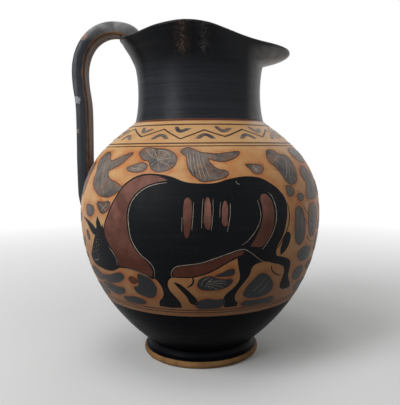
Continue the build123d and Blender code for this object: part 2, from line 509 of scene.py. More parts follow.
def on_wall(height, lift):
    """The radius and height of a point that stands off the wall at one height."""
    lean = np.interp(height, wall_heights, wall_leans)
    radius = np.interp(height, wall_heights, wall_radii)
    return radius + lift * np.cos(lean), height - lift * np.sin(lean)


line_finish, shader, place = new_finish("thin_slip_line", 0.45, 0.2)
thinned = patches(place, 0.004, 0.3, 0.7, detail=5)
dress(shader, coats(tone(54, 36, 29), (thinned, tone(84, 56, 40))))
relief(shader, (clouds(place, 0.0008), 0.00004))
for index, (height, width) in enumerate(
    [(0.1782, 0.0008), (0.1653, 0.0008), (0.1634, 0.0006), (0.0555, 0.0008), (0.0535, 0.0007)]
):
    low, high = height - width / 2, height + width / 2
    corners = [on_wall(low, 0), on_wall(low, slip_lift), on_wall(high, slip_lift), on_wall(high, 0)]
    ring = throw(
        f"turned_line_{index + 1}",
        [(straight(start, end), 1) for start, end in zip(corners, corners[1:] + corners[:1])],
        steps=256,
    )
    fix_on(ring, line_finish, "black_slip")

# Frieze
# A grazing bull among leaves and rosettes, brushed on in slip before firing. Added red lies over
# it, and details are scratched through to the pale clay. The marks are drawn on the wall
# unrolled flat, in degrees round from the front and millimetres up.
paint_thickness = 0.00008
red_lift = 0.00017
scratch_lift = 0.00024
fine_line_lift = 0.00014
vein_lift = 0.00018
stain_reach = 0.0042
patch_size = 0.005
sharp_turn = radians(120)
back_sway, back_drift = 0.012, 0.0006
frieze_start, frieze_span = 0.057, 0.11
marks = []


def laid(point):
    """A point of the drawing, in metres on the unrolled wall."""
    return Vector((radians(point[0]) * belly_radius, point[1] / 1000, 0))


def new_mark(kind, *loops):
    """A flat mark that fills itself, with knots to place for each of its closed loops."""
    mark = new_curve("mark")
    mark.data.dimensions = "2D"
    mark.data.fill_mode = "BOTH"
    marks.append(mark)
    for loop in loops:
        spline = mark.data.splines.new(kind)
        spline.use_cyclic_u = True
        spline.resolution_u = 5
        (spline.bezier_points if kind == "BEZIER" else spline.points).add(len(loop) - 1)
    return mark.data.splines


def dab(points, tips=()):
    """A filled brush mark; the points named as tips and every very sharp turn stay sharp."""
    corners = [laid(point) for point in points]
    for index, knot in enumerate(new_mark("BEZIER", points)[0].bezier_points):
        knot.co = corners[index]
        arrival = knot.co - corners[index - 1]
        leaving = corners[(index + 1) % len(corners)] - knot.co
        sharp = index in tips or arrival.angle(leaving) > sharp_turn
        shape = "VECTOR" if sharp else "AUTO"
        knot.handle_left_type = knot.handle_right_type = shape


def smooth_through(knots, values, places):
    """A smooth curve through values at knots, read at places."""
    knots, values = np.asarray(knots, float), np.asarray(values, float)
    slopes = np.gradient(values, knots)
    step = np.clip(np.searchsorted(knots, places, side="right") - 1, 0, len(knots) - 2)
    gap = knots[step + 1] - knots[step]
    part = (places - knots[step]) / gap
    return (
        values[step] * (1 - part) ** 2 * (1 + 2 * part)
        + values[step + 1] * part**2 * (3 - 2 * part)
        + slopes[step] * gap * part * (1 - part) ** 2
        - slopes[step + 1] * gap * part**2 * (1 - part)
    )


def drawn(points):
    """A smooth line through points of the drawing, and the direction square to it all along."""
    path = np.array([laid(point)[:2] for point in points])
    stops = np.arange(len(path))
    places = np.linspace(0, stops[-1], 6 * stops[-1] + 1)
    line = np.stack([smooth_through(stops, values, places) for values in path.T], 1)
    along = np.gradient(line, axis=0)
    along /= np.linalg.norm(along, axis=1)[:, None]
    return line, np.stack([-along[:, 1], along[:, 0]], 1)


def ink(*loops):
    """Fills the space between closed loops of points."""
    for spline, loop in zip(new_mark("POLY", *loops), loops):
        for knot, point in zip(spline.points, loop):
            knot.co = (*point, 0, 1)


def stroke(points, width, ends=0.35):
    """A drawn line of one width in millimetres that thins towards its ends."""
    line, across = drawn(points)
    share = np.abs(np.linspace(-1, 1, len(line)))[:, None]
    half = width / 2000 * (1 - (1 - ends) * share**4)
    ink(np.concatenate([line + across * half, (line - across * half)[::-1]]))


def edging(points, width):
    """A line of one width in millimetres that runs right round a figure."""
    line, across = (values[12:-13] for values in drawn(points[-2:] + points + points[:3]))
    ink(line + across * width / 2000, line - across * width / 2000)


def painted(name, lift, finish, slot):
    """Fires the drawn marks on: cut in small squares, bent round the wall and given thickness.
    The back carries a second copy, turned half way round and a little unlike the first."""
    bpy.ops.object.select_all(action="DESELECT")
    for mark in marks:
        mark.select_set(True)
    bpy.context.view_layer.objects.active = marks[0]
    bpy.ops.object.convert(target="MESH")
    if len(marks) > 1:
        bpy.ops.object.join()
    marks.clear()
    front = bpy.context.object
    bpy.ops.object.mode_set(mode="EDIT")
    (left, low, _), (right, high, _) = front.bound_box[0], front.bound_box[6]
    reach = max(abs(left), abs(right))
    cuts = [((x, 0, 0), (1, 0, 0)) for x in np.arange(-reach, reach, patch_size)]
    cuts += [((0, y, 0), (0, 1, 0)) for y in np.arange(low, high, patch_size)]
    for spot, square_to in cuts:
        bpy.ops.mesh.select_all(action="SELECT")
        bpy.ops.mesh.bisect(plane_co=spot, plane_no=square_to)
    bpy.ops.object.mode_set(mode="OBJECT")
    bpy.ops.object.duplicate()
    back = bpy.context.object
    for side, piece in (("front", front), ("back", back)):
        piece.name = f"{name}_{side}"
        x, y, _ = points_of(piece).T
        turn = x / belly_radius
        if side == "back":
            hand = np.sin(turn * 3.1 + y * 60) * np.cos(turn)
            turn = turn + back_sway * hand + pi
            inner = np.sin((y - frieze_start) / frieze_span * pi).clip(0)
            y = y + back_drift * np.cos(x * 47 + 1.3) * inner
        radius, height = on_wall(y, lift)
        points = np.stack([radius * np.sin(turn), -radius * np.cos(turn), height], 1)
        piece.data.vertices.foreach_set("co", points.ravel())
        select_only(piece)
        weld(outward=False)
        bpy.ops.object.modifier_add(type="SOLIDIFY")
        piece.modifiers[0].thickness = paint_thickness
        bpy.ops.object.modifier_apply(modifier=piece.modifiers[0].name)
        bpy.ops.object.shade_smooth_by_angle(angle=soft_angle)
        fix_on(piece, finish, slot)
    return front, back


# The bull is one silhouette: back, rump, both hind legs, belly, foreleg, dewlap and head
dab(
    [
        (-36, 134), (-34.7, 137.3), (-31.5, 141.5), (-28, 144.4), (-24, 145.8), (-18, 145.7),
        (-12, 144.2), (-6, 141), (0, 140), (6, 140.2), (12, 142.5), (18, 143.8), (22, 143.8),
        (27, 142.3), (30, 140), (33, 137), (35.5, 133.5), (37.2, 130), (38.2, 126), (38.2, 120),
        (37.3, 112), (35.6, 104), (33, 97), (33.2, 92), (36, 90.3), (40, 88.2), (42.6, 85),
        (43.2, 80), (43.6, 75), (45.2, 71.4), (47.6, 68), (48.6, 64.4), (43.2, 64.4), (39.8, 67.6),
        (39.6, 73), (39.8, 78.5), (38.8, 82), (36, 84.6), (32, 86.5), (28, 88.3), (24.6, 88),
        (22, 86), (20.8, 80), (19.2, 76), (17.6, 72.5), (16.2, 69), (15.6, 64), (17.6, 60),
        (17.2, 57.4), (11.4, 57.2), (10.2, 62.5), (11, 67), (14, 71.5), (16.2, 76), (16.6, 80),
        (15.6, 86), (14.8, 92.6), (11, 89.6), (7, 86), (3, 82.8), (-1, 80.9), (-4, 80),
        (-9, 79.8), (-12.4, 79.4), (-14, 76), (-13.6, 71), (-11.4, 66), (-9.4, 61.5), (-9, 57.5),
        (-14, 57), (-20, 57.6), (-19.6, 61), (-17, 66), (-16.8, 71), (-18.2, 76), (-19.8, 78.2),
        (-21, 77.6), (-24, 79.8), (-28, 81.8), (-33, 83), (-37, 82.9), (-40, 80.8), (-43, 79.3),
        (-47, 78.8), (-52, 79.4), (-56, 80), (-59, 82), (-60, 86), (-57.4, 91), (-54.8, 96),
        (-53, 100), (-51.6, 104), (-53.8, 107), (-56.4, 109.8), (-52.4, 109.4), (-50.2, 108),
        (-50, 112), (-49, 116.8), (-46.8, 112.6), (-45.2, 107.8), (-44.6, 107.8), (-44, 111),
        (-42.5, 116), (-40.5, 122), (-38.5, 128),
    ],
    tips=(30, 31, 32, 47, 48, 49, 56, 68, 69, 70, 76, 96, 98, 99, 101),
)
dab([
    (-65, 113.8), (-60, 113), (-55.4, 111.2), (-51.8, 108.6), (-50.2, 104.6), (-53.2, 103.2),
    (-55.6, 105.6), (-58.4, 109), (-61.4, 111.6),
], (0,))
dab([(-46.4, 107), (-45.2, 111.4), (-44.2, 108.4), (-44, 103), (-46, 102)], (1,))
stroke([(38.6, 126), (39.4, 119), (38.9, 112), (37.2, 105.5), (34.4, 99), (33, 96.4)], 0.8)
dab([
    (37.8, 106.6), (40, 105.4), (40.4, 101.4), (39.4, 97), (37.8, 93.8), (35.6, 91.4), (35, 95),
    (35.5, 99), (36.4, 103),
], (5,))
stroke([(31.2, 85.4), (31.8, 82), (33.4, 79.6), (35.6, 77.6), (38, 76.4)], 0.9)
stroke([(-3.4, 80.6), (-3, 78), (-3.6, 75.4), (-5.6, 73)], 1.1)
dab([
    (-11.6, 76.6), (-9.2, 75.6), (-6.6, 72.6), (-4, 68.4), (-1.4, 63), (-1.2, 60.6), (-4.6, 61),
    (-6.2, 66), (-8.4, 70.4),
])

bull_finish, shader, place = new_finish("bull_slip", 0.42, 0.08)
combed = patches(place, 0.0016, 0.6, 0.85, 0, 0.35, (1, 1, 0.25), 3)
colour = coats(slip_colour(place), (combed, tone(52, 50, 50)))
dress(shader, colour, patches(place, 0.015, 0.3, 0.7, 0.42, 0.56))
relief(shader, (turned(place, 0.0012), 0.00006))
painted("bull", slip_lift, bull_finish, "black_slip")

# Added red: the neck's crescent, three ribs, the haunch and the belly's stripe
dab([
    (-5, 131.4), (-3.7, 130.2), (-3.2, 127.6), (-3.2, 121), (-3.7, 112.4), (-4.5, 108), (-5.3, 105.8),
    (-6, 108), (-6.3, 112.4), (-6.5, 121), (-6.3, 127.6), (-6, 129.8),
])
dab([(2.9, 131.6), (3.9, 129), (4.2, 123.8), (4, 114), (3.2, 111.6), (1.7, 114), (1.7, 123.8), (1.9, 129)])
dab([
    (9.8, 129.2), (10.6, 127.2), (10.8, 123.5), (10.6, 119), (9.8, 113.4), (8.5, 115), (8.4, 119),
    (8.5, 123.8), (9, 127.4),
])
dab([
    (-13.4, 142), (-18, 144.5), (-23.6, 144.7), (-27.6, 143.3), (-31, 140.6), (-33.8, 137), (-35.2, 133.8),
    (-37.7, 128), (-39.7, 122), (-41.7, 116), (-43.2, 111), (-43.7, 107), (-42.7, 101.5), (-40.3, 97),
    (-38.3, 92), (-37.4, 87.4), (-37, 84.2), (-32.6, 84.2), (-27.8, 83), (-24, 81.2), (-20.8, 79.6),
    (-20.1, 83), (-21, 86.8), (-22.7, 90.6), (-25.3, 94), (-27.9, 99), (-29.6, 105), (-30.5, 113),
    (-30.7, 120), (-29.9, 126.5), (-28.3, 131), (-25.7, 135.3), (-22.5, 138.5), (-18.3, 140.5),
], tips=(0, 16, 20))
dab([
    (25, 131), (25.4, 125), (25.4, 118), (24.6, 113), (22.6, 106), (20.2, 99.6), (25, 98.6),
    (28, 103), (30.2, 110), (31, 118), (30.8, 124), (29.3, 130), (27, 132.6),
], tips=(5, 6))
dab([
    (-11.4, 80.6), (-11, 84.6), (-9, 87.1), (-5, 88.1), (0, 89.3), (5, 91.8), (10, 94.5), (15, 97),
    (17.6, 97), (17.2, 95.2), (14.2, 93.4), (11, 90.7), (7, 87), (3, 83.8), (-1, 81.8), (-4.4, 80.9),
], tips=(0, 8))
dab([(-33.4, 75.6), (-32, 78), (-29.6, 77.6), (-28.4, 75), (-29.8, 73), (-32.4, 73)])

red_finish, shader, place = new_finish("added_red", 0.6, 0.12)
mottled = patches(place, 0.012, 0.35, 0.68, detail=6)
worn = patches(place, 0.0022, 0.58, 0.75, 0, 0.6, (1, 1, 0.4), 5)
# Painted shade: the added red grows darker and browner towards the bottom of the frieze.
red_painted_shade = level(axes_of(place)["Z"], 0.128, 0.088, 0, 0.85)
colour = coats(
    tone(92, 61, 52),
    (mottled, tone(134, 92, 81)),
    (worn, tone(66, 48, 44)),
    (red_painted_shade, tone(66, 36, 26)),
)
dress(shader, colour)
relief(shader, (clouds(place, 0.0012), 0.00005))
painted("added_red", red_lift, red_finish, "belly_clay")

# Scratched lines on the bull
for path, width in (
    ([(-13.6, 140.5), (-18, 139.5), (-22, 137.5), (-25, 134.5), (-27.5, 130.5), (-29, 126), (-29.8, 120),
      (-29.6, 113), (-28.8, 105), (-27, 99), (-24.5, 94), (-22, 91), (-20.2, 88), (-19.2, 84),
      (-19.8, 78.6)], 0.38),
    ([(-33.5, 83.6), (-28.5, 82.5), (-24.3, 80.6), (-21, 78.4)], 0.26),
    ([(-11.9, 79.6), (-12, 83), (-11, 86), (-9, 87.9), (-5, 88.9), (0, 90.1), (5, 92.6), (10, 95.3),
      (14.6, 97.6), (17.6, 98), (21, 95), (24.5, 90.6), (27.4, 88.4)], 0.34),
    ([(-2.5, 128.4), (-2.7, 120.2), (-3.2, 111.6)], 0.24),
    ([(-6.9, 119.6), (-7, 114), (-7.1, 110.2)], 0.18),
    ([(1.2, 130.8), (0.8, 123.8), (0.5, 112.6)], 0.22),
    ([(5, 130.6), (5, 122), (4.2, 110.8)], 0.18),
    ([(11.8, 127.6), (11.6, 120), (10.5, 110)], 0.24),
    ([(8, 128.6), (7.7, 124), (7.5, 119)], 0.16),
    ([(29, 133.4), (30.6, 130.5), (31.9, 124), (32, 116), (30.7, 109), (28.6, 103), (25.6, 97)], 0.28),
    ([(23.4, 129), (24.4, 122), (24.3, 117), (22.6, 110.5), (19, 103.6), (16.6, 101)], 0.2),
    ([(-38.4, 84.4), (-37.9, 88), (-39.2, 92.6), (-41.8, 97)], 0.3),
    ([(15, 141), (15.4, 139.6), (16.4, 139)], 0.24),
    ([(-56.5, 84.2), (-53.4, 84.6), (-51.6, 86.6)], 0.26),
):
    stroke(path, width, 0.5)
for turn, height in (
    (-52.6, 101), (-51, 98.6), (-53.6, 97.4), (-52, 95.2), (-54.4, 93.8), (-49.8, 100.6), (-49.6, 96.6),
    (-55, 90.6), (-52.8, 91.6), (-50.6, 93), (-51.4, 89.4),
):
    stroke([(turn, height), (turn + 0.5, height - 0.5)], 0.2, 0.5)

scratch_finish, shader, place = new_finish("scratched_clay", 0.6, 0.3)
deep = patches(place, 0.0024, 0.35, 0.7, detail=5)
# Painted shade: the scratched lines grow dimmer towards the bottom of the frieze.
scratch_painted_shade = level(axes_of(place)["Z"], 0.105, 0.075, 0, 0.6)
colour = coats(tone(192, 180, 162), (deep, tone(140, 122, 104)), (scratch_painted_shade, tone(98, 88, 78)))
dress(shader, colour)
relief(shader, (clouds(place, 0.0006), 0.00005))
painted("scratched_lines", scratch_lift, scratch_finish, "belly_clay")

# Filling ornaments: leaves, buds and rosettes in thin slip, each with a warm stain round it
leaves = [
    [(-63.5, 155), (-61, 158.6), (-57, 159.6), (-54, 158.2), (-51.5, 155.5), (-48.8, 153.8),
     (-44.8, 155.4), (-40, 158), (-35.6, 159.2), (-37.6, 154.8), (-41, 151), (-44.4, 148.6), (-46.6, 147),
     (-45.6, 144), (-42.5, 141.2), (-38.6, 139.8), (-34.4, 136.6), (-38, 132.6), (-41.6, 130.3),
     (-46, 129.9), (-51, 131.8), (-56, 136.6), (-58, 141.6), (-59, 147), (-61.6, 150.4)],
    [(-31.5, 159.5), (-30, 162), (-26, 162.5), (-22, 161.8), (-18, 161.5), (-14, 160), (-11, 157),
     (-10.5, 153.5), (-12, 150), (-15, 147.8), (-18, 147), (-21, 148.2), (-23, 151), (-24.3, 153.8),
     (-27, 154.5), (-29.5, 156.5)],
    [(-35, 149.5), (-33, 150.6), (-29, 152.5), (-26, 152.5), (-24, 150.6), (-25.2, 148), (-28, 146.7),
     (-32, 147), (-34, 147.8)],
    [(-9.4, 160.2), (-7.4, 162), (-4.6, 162.2), (-1.6, 160.4), (1, 159.2), (4.4, 158.6), (8.6, 158.2),
     (13, 158.9), (19.8, 159.6), (17.8, 156.6), (14.4, 154.4), (10.4, 153.3), (6.6, 154), (4, 155),
     (5.2, 151.8), (7.6, 149), (12.2, 146.8), (11.4, 144.4), (8.6, 142.6), (4.4, 141.4), (0.4, 141.4),
     (-1.2, 143.2), (-3.8, 146.2), (-5.2, 149.8), (-5.8, 153.4), (-6.2, 156.4), (-8.2, 158.4)],
    [(20.8, 151.2), (23.6, 151.4), (26.4, 151.2), (28.8, 150.4), (29.4, 148.6), (28, 146.3),
     (25.5, 145.1), (23.5, 146.3), (22.4, 148.6)],
    [(34, 155), (35, 158), (37, 160.2), (39.5, 160.5), (42, 159.5), (44.5, 157.4), (48, 157), (50.6, 155),
     (50.8, 150), (50, 144), (47.5, 139), (44, 137.4), (41, 138.8), (39.8, 141.6), (38.5, 145.4),
     (36.5, 149.5), (34.6, 152.5)],
    [(39.6, 136.6), (41.4, 136.9), (43.7, 134.6), (43.7, 131.6), (41.4, 129.8), (39.6, 131), (39.3, 134)],
    [(46, 130), (48.4, 131.2), (50.5, 129.8), (50.7, 127.4), (48.2, 126), (46.2, 127.4)],
    [(44, 121.5), (46.6, 122.4), (49, 119.5), (50.5, 112), (51, 104), (50, 98), (47, 96), (44, 100),
     (43, 108), (43.2, 116)],
    [(54, 143), (57, 148), (61, 148.6), (66, 145.4), (70, 139), (70, 131), (65, 126.4), (58, 126),
     (53.4, 128), (54.4, 133), (56.6, 138)],
    [(-60, 122.5), (-56, 123.6), (-52.5, 122), (-51.8, 119.2), (-54, 116.3), (-57.5, 115.4), (-60, 118)],
    [(-49.6, 125.6), (-45, 126.6), (-40.6, 127), (-40.6, 123.2), (-43, 119.6), (-46, 119), (-48.4, 122)],
    [(-76, 136), (-74, 146), (-70.6, 152), (-67, 151), (-66.4, 143), (-67.6, 135), (-70, 129),
     (-73.6, 128.6)],
    [(-58, 72.8), (-52, 74.2), (-47.4, 75.2), (-43, 77), (-39.4, 78.9), (-36.4, 78.8), (-36, 76.2),
     (-38.6, 72.8), (-42.4, 70.8), (-46.6, 69.6), (-51, 69.8)],
    [(-56, 67.4), (-50, 68.6), (-45.6, 68.2), (-41.4, 67.6), (-38.2, 67.8), (-38.6, 64.4), (-43, 61.4),
     (-48, 61.2), (-52, 63.2)],
    [(-31.4, 70), (-28.6, 72), (-28.2, 76.4), (-27.4, 80.4), (-24.4, 79.6), (-21.2, 77), (-19.8, 73.6),
     (-19.6, 69.6), (-20.8, 65.6), (-23.4, 63.4), (-27, 64.2), (-30.6, 66.4)],
    [(-41, 60), (-37, 61.6), (-32.6, 62.4), (-28.6, 61.6), (-27, 59), (-30, 57.2), (-35, 56.8),
     (-39.6, 57.4)],
    [(-1.4, 74.8), (-0.6, 78.4), (1.6, 80.6), (4.4, 81), (6.6, 79.6), (9.4, 78.6), (13.4, 78),
     (12.8, 74.8), (10, 72.2), (5.8, 70.9), (2, 71), (-0.4, 72.4)],
    [(6, 81), (8.4, 82.8), (11, 84.8), (13.6, 85.4), (13.8, 81.6), (10.6, 80.4)],
    [(-2.6, 60), (-0.6, 63), (3, 64.6), (6.6, 63.6), (10.4, 63.6), (10.8, 60), (8.8, 57.4), (4, 56.8),
     (-1, 57.2)],
    [(19.4, 66.4), (20.6, 72), (23, 76), (25, 79.4), (27.4, 80.4), (29.8, 79), (32.4, 75.6), (34.6, 70.8),
     (34.6, 66.4), (31.4, 63.4), (26, 62.6), (22, 63.4)],
    [(20, 60), (25, 60.6), (32, 60.8), (37.6, 60.4), (38.4, 58), (32, 56.8), (24, 56.8), (20, 57.6)],
    [(47.4, 76), (50.6, 79.4), (55, 78.6), (57, 74), (54.6, 69.6), (50.4, 69.6), (47.8, 72.4)],
    [(47.4, 90), (51.4, 93.4), (57, 92.6), (60.6, 88.6), (58.6, 84), (53, 83), (48.6, 85.4)],
    [(55, 63), (60, 66.4), (66, 66), (68, 62), (64, 58.6), (57.4, 58.4)],
    [(54.6, 120), (58, 123), (63, 121), (65, 113), (63.4, 103.6), (59, 99), (55.4, 103), (54, 112)],
    [(66, 97), (70.4, 100), (75, 97.6), (76, 91), (72.6, 86), (67.6, 87.6), (65.4, 92)],
    [(56, 159), (61, 161.6), (68, 160.6), (73.6, 156.6), (72, 152.4), (65, 151.4), (58.4, 153.4)],
    [(-66.6, 75), (-62, 77.4), (-55.4, 75.6), (-52, 72), (-56, 69), (-62.6, 69.4)],
    [(-65, 63), (-59.4, 65), (-54, 61.8), (-53.6, 59.4), (-58.4, 57.6), (-64, 58.6)],
]


def redrawn(points, figure, spot, size):
    """Points that belong to a figure, drawn again about a spot; a size below zero mirrors them."""
    turns, heights = zip(*figure)
    middle_turn, middle_height = ((min(values) + max(values)) / 2 for values in (turns, heights))
    return [
        (spot[0] + (turn - middle_turn) * size, spot[1] + (height - middle_height) * abs(size))
        for turn, height in points
    ]


# The sides under spout and handle carry the front's figures again: which, where and how big
side_figures = [
    (leaves[index], spot, size)
    for index, spot, size in (
        (3, (90, 152), -0.9), (1, (80, 132), -0.8), (5, (97, 131), -0.75), (0, (78, 111), -0.7),
        (17, (103, 113), 1), (4, (92.5, 102.5), 1), (15, (85, 90), -0.8), (13, (104, 94), 0.9),
        (2, (109, 84.5), 0.8), (13, (80, 75), -0.9), (14, (79, 63.5), -0.9), (20, (100, 74), -0.85),
        (21, (99, 60.5), -0.8), (4, (63.5, 77), -1),
    )
]
leaves += [redrawn(figure, figure, spot, size) for figure, spot, size in side_figures]
for points in leaves:
    dab(points)
buds = [
    (-6.2, 176.4), (-4.2, 176.7), (-1.2, 174.6), (3, 175.6), (5.8, 175.2), (3, 173.6), (-0.8, 172.4),
    (-3.8, 173.4),
]
arches = [
    (-5.8, 168.4), (-2.4, 171.2), (0.4, 171.8), (3.4, 170.8), (6.2, 168.4), (3.8, 168.2), (0.2, 170),
    (-3.4, 168.2),
]
for figure, middles in (
    (buds, (-65, -38, -11, 16.3, 42, 66, 90)),
    (arches, (-78, -52, -24, 3.2, 29.5, 54.6, 78)),
):
    for middle in middles:
        dab([(middle + turn, height) for turn, height in figure])

ornament_finish, shader, place = new_finish("thin_slip", 0.42, 0.22)
thick = patches(place, 0.010, 0.34, 0.68, detail=6)
swept = patches(place, 0.0018, 0.52, 0.8, 0, 0.5, (1, 1, 0.3), 5)
rusty = patches(place, 0.009, 0.5, 0.7, 0, 0.6, detail=6)
# Painted shade: the ornaments turn almost black towards the bottom of the frieze.
ornament_painted_shade = level(axes_of(place)["Z"], 0.145, 0.085, 0, 0.96)
colour = coats(
    tone(54, 52, 53),
    (thick, tone(112, 100, 91)),
    (swept, tone(150, 130, 115)),
    (rusty, tone(138, 98, 74)),
    (ornament_painted_shade, tone(23, 27, 32)),
)
dress(shader, colour, level(thick, 0, 1, 0.34, 0.5))
relief(shader, (clouds(place, 0.0011), 0.00005))
ornaments = painted("ornaments", slip_lift, ornament_finish, "black_slip")

zigzag = [
    (-90, 169.4), (-78.4, 175.4), (-66, 169.6), (-53.5, 176.2), (-38, 170), (-24, 175), (-11, 168.2),
    (3, 174.2), (15, 169.5), (29.5, 174.7), (41.5, 169.5), (53, 174.8), (65.4, 169.6), (78, 175),
    (90, 169.4),
]
ribbon_half = 0.44
ribbon = [(turn, height + ribbon_half) for turn, height in zigzag]
ribbon += [(turn, height - ribbon_half) for turn, height in zigzag[::-1]]
dab(ribbon, range(len(ribbon)))
for points in leaves:
    edging(points, 0.5)
for path in (
    [(47, 122), (49.8, 115.2), (54.8, 107.5), (61.2, 98.8)], [(49.5, 123), (53.5, 116), (59.8, 107.8)],
    [(-33.4, 74.4), (-31.6, 77.4), (-28.8, 77)], [(53, 101), (57, 96.6), (62.4, 94.4)],
):
    stroke(path, 0.6)
dab([(-61, 104.6), (-59.4, 105), (-57.6, 101.6), (-57.4, 98.4), (-59.4, 97.8), (-60.8, 100.8)])
painted("fine_lines", fine_line_lift, line_finish, "black_slip")

# Scratches across the ornaments, where the potter drew veins and petals
veins = [
    [(-52.6, 154), (-49.4, 143), (-45.4, 131.4)], [(-54, 154.6), (-50.6, 143), (-47, 132)],
    [(-58, 156), (-55.4, 149), (-54, 142)], [(-28.4, 161.4), (-24, 157.4), (-19.6, 154.6)],
    [(-25, 161.8), (-22, 158.6), (-19.6, 154.6)], [(-19.6, 154.6), (-20.4, 161)],
    [(-19.6, 154.6), (-15, 159.6)], [(-19.6, 154.6), (-12, 156)], [(-19.6, 154.6), (-13.6, 151)],
    [(-19.6, 154.6), (-18, 148)], [(-19.6, 154.6), (-22.6, 151)],
    [(-23.6, 156.4), (-22.4, 159.8), (-18.6, 160.4), (-15, 158.4), (-13.8, 154.6), (-15.6, 151)],
    [(-33, 149.4), (-26, 148.4)], [(-32, 147.8), (-26.4, 151.4)], [(-30.6, 147.4), (-27.6, 149)],
    [(-4.6, 160), (-4, 152), (-2.6, 145)], [(-3.2, 161), (-2.4, 152), (-0.8, 143)],
    [(-1.8, 160), (-0.8, 151), (0.6, 142.6)], [(-0.6, 159.6), (0.6, 151), (2.4, 142.6)],
    [(0.8, 159), (2, 152), (4.2, 143)], [(-6, 159), (-5.2, 154), (-4.2, 150)],
    [(23.6, 149.8), (26.6, 147)], [(24.6, 150.8), (25.6, 146.2)], [(27.4, 149.6), (24.6, 147.6)],
    [(41, 142), (44, 148), (47.4, 153.6)], [(43.4, 140.6), (44.6, 145), (46.4, 149)],
    [(38, 153), (41, 155.6), (44, 156)], [(36.6, 157), (39, 153.6), (42.4, 150)],
    [(48, 122), (49.8, 124.8)], [(47, 119), (47.6, 110), (47.8, 100)], [(-58.2, 121.4), (-54.2, 117.6)],
    [(-47.4, 125), (-42.6, 121)], [(-42, 125.6), (-46.2, 120.8)], [(58, 146), (61, 138), (62.4, 129)],
    [(62, 146), (65, 138), (65.6, 130)], [(58, 120), (59.6, 111), (59.4, 102)],
    [(0.4, 74), (0.6, 76.6), (2, 79), (3.6, 80.2)], [(2, 73.4), (2.6, 75.8), (3.8, 78), (5, 79.4)],
    [(3.6, 77.4), (7, 77.6), (10.4, 77.2)], [(3.4, 76.4), (7.4, 76), (11, 75)],
    [(3.2, 75.4), (6.6, 74.4), (9.6, 72.9)], [(3, 74.6), (5.4, 73), (7, 71.8)],
    [(2.8, 74.2), (3.8, 72.8), (4.2, 71.8)], [(24, 68), (27, 72), (29.4, 76.4)],
    [(27.6, 66), (30, 70), (31.4, 74)], [(50, 73), (54.6, 75.6)], [(50.4, 86), (55, 89), (58, 89)],
    [(60, 157), (66, 157.6), (71, 155.6)], [(-73, 147), (-71.6, 140), (-71.6, 132)],
    [(-62.6, 74), (-58.6, 72.6), (-55, 72)],
]
for figure, spot, size in side_figures:
    turns, heights = zip(*figure)
    left, right, low, high = min(turns), max(turns), min(heights), max(heights)
    for path in veins[:]:
        if all(left < turn < right and low < height < high for turn, height in path):
            veins.append(redrawn(path, figure, spot, size))
for path in veins:
    stroke(path, 0.22, 0.6)
painted("veins", vein_lift, scratch_finish, "belly_clay")

brushed = np.concatenate([points_of(piece) for piece in ornaments])
nearest = KDTree(len(brushed))
for index, point in enumerate(brushed):
    nearest.insert(point, index)
nearest.balance()
for piece in (belly_wall, shoulder):
    distances = np.array([nearest.find(vertex.co)[2] for vertex in piece.data.vertices])
    keep(piece, "stain", np.maximum(0, 1 - distances / stain_reach))

# Neck and mouth
# A collar thrown apart, round all the way up, then pinched by hand while soft: two fingers
# draw the spout out and press in both sides, which leaves three lobes and a wavy rim.
neck_waist_radius = 0.0473
neck_wall = 0.0045
mouth_base_height = 0.224
mouth_base_radius = 0.0492
lip_radius = 0.0583
lip_height = 0.2477
lip_wall = 0.0036
spout_drop = 0.0129
level_span = 0.0269
worn_depth = 0.004
joint_band = 0.0034
neck_control_radius = (8 * neck_waist_radius - neck_base_radius - mouth_base_radius) / 6
lip_wave_shares = (-0.03, 0.075, 0.086, 0.062, 0.016)
side_level_shares = (0, 0.15, 0.31, 0.54, 1)
side_open_shares = (0, 0.14, 0.3, 0.6, 1.15)
spout_level_shares = (0, 0.06, 0.13, 0.22, 0.33, 0.48, 1)
spout_open_shares = (0, 0.1, 0.52, 0.82, 0.98, 0.95, 0.95)
rim_run_shares = np.array((-1.3, -1.07, -0.95, -0.8, -0.5, -0.14, 0.14, 0.35, 0.75, 1.03, 1.2, 1.3))
rim_drop_shares = np.array((0.08, 0.14, 0.23, 0.27, 0.1, 0, 0.11, 0.3, 0.63, 0.77, 0.88, 0.97))

neck_radii = (neck_base_radius, neck_control_radius, neck_control_radius, mouth_base_radius)
neck_curve = [
    Vector((radius, between(neck_base_height, mouth_base_height, share)))
    for radius, share in zip(neck_radii, (0, 0.29, 0.71, 1))
]
neck_inner = [point - Vector((neck_wall, 0)) for point in neck_curve]
lip_round = lip_wall / 2
lip_foot = lip_height - lip_round
lip_outer = Vector((mouth_base_radius, lip_foot))
lip_inner = Vector((mouth_base_radius - lip_wall, lip_foot))
lip_crown = Vector((mouth_base_radius - lip_round, lip_height))
arch_up, arch_out = Vector((0, 0.55 * lip_round)), Vector((0.55 * lip_round, 0))
inner_ledge = Vector((lip_inner.x, mouth_base_height + lip_wall))
collar = throw(
    "neck_and_mouth",
    [
        (neck_curve, 34),
        (straight(neck_curve[-1], lip_outer), 40),
        ([lip_outer, lip_outer + arch_up, lip_crown + arch_out, lip_crown], 5),
        ([lip_crown, lip_crown - arch_out, lip_inner + arch_up, lip_inner], 5),
        (straight(lip_inner, inner_ledge), 30),
        (straight(inner_ledge, neck_inner[-1]), 4),
        (neck_inner[::-1], 14),
        (straight(neck_inner[0], neck_curve[0]), 1),
    ],
    steps=360,
)
points = points_of(collar)
soft = points[:, 2] > mouth_base_height + seam_gap
x, y, round_height = points[soft].T
turn = np.arctan2(y, x)
depth = mouth_base_radius - np.hypot(x, y)
waves = sum(share * np.cos((index + 1) * turn) for index, share in enumerate(lip_wave_shares))
lip_reach = lip_radius * (1 + waves)
spout_share = np.maximum(np.cos(turn), 0) ** 4
climb = (np.minimum(round_height, lip_foot) - mouth_base_height) / (lip_foot - mouth_base_height)


